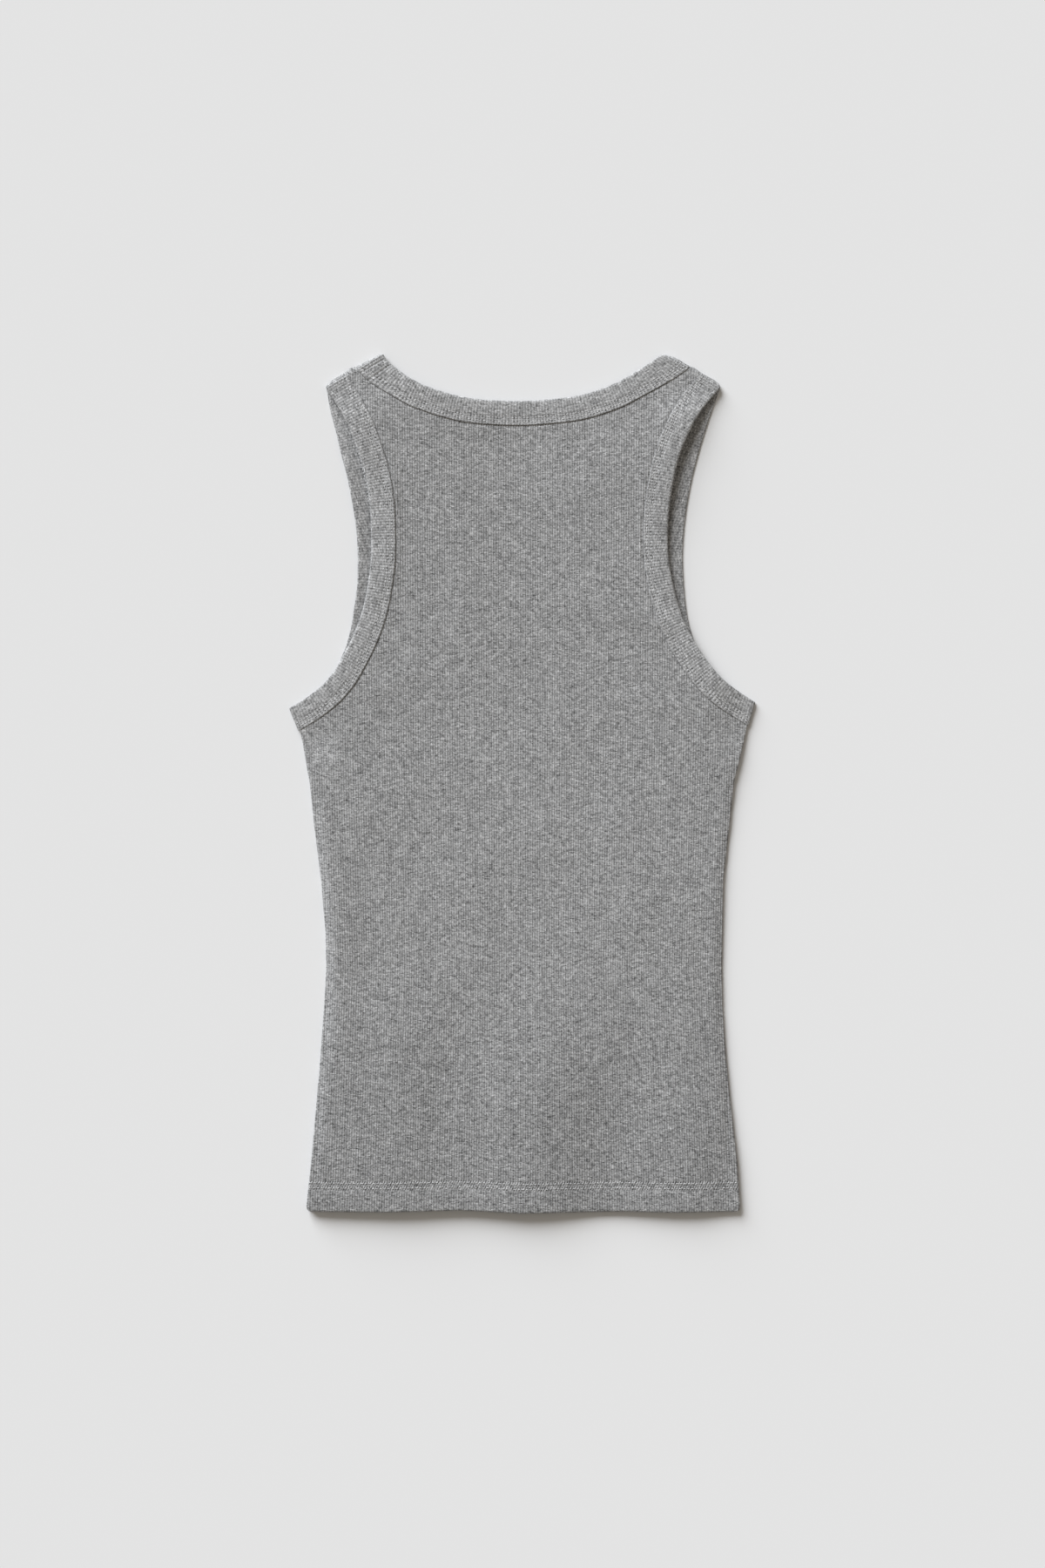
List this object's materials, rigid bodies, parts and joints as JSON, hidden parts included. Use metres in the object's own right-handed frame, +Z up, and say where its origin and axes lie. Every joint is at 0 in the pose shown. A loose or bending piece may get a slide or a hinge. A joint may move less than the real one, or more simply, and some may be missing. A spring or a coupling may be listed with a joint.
{
  "type": "rib-knit tank top laid flat",
  "caption": "Women's heather grey rib tank top with bound neck and armholes and turned-up hems, lying flat on its front with its back up.",
  "frame": {"origin": "middle of the garment's plan on the surface that it lies on", "axes": "+Y from the hem to the shoulders, +X to the right as seen from above with the shoulders away, +Z up from the surface"},
  "size_m": [0.3312, 0.6076, 0.0119],
  "materials": {
    "body_jersey": "matt heather grey rib jersey, light and dark fibres mixed, ribs up and down",
    "binding_jersey": "the same rib jersey in strips, ribs across the strip, twin-needle coverstitch"
  },
  "bodies": {
    "root": {"back_panel": "body_jersey", "front_panel": "body_jersey", "neck_band": "binding_jersey", "armhole_band_left": "binding_jersey", "armhole_band_right": "binding_jersey"}
  },
  "joints": []
}
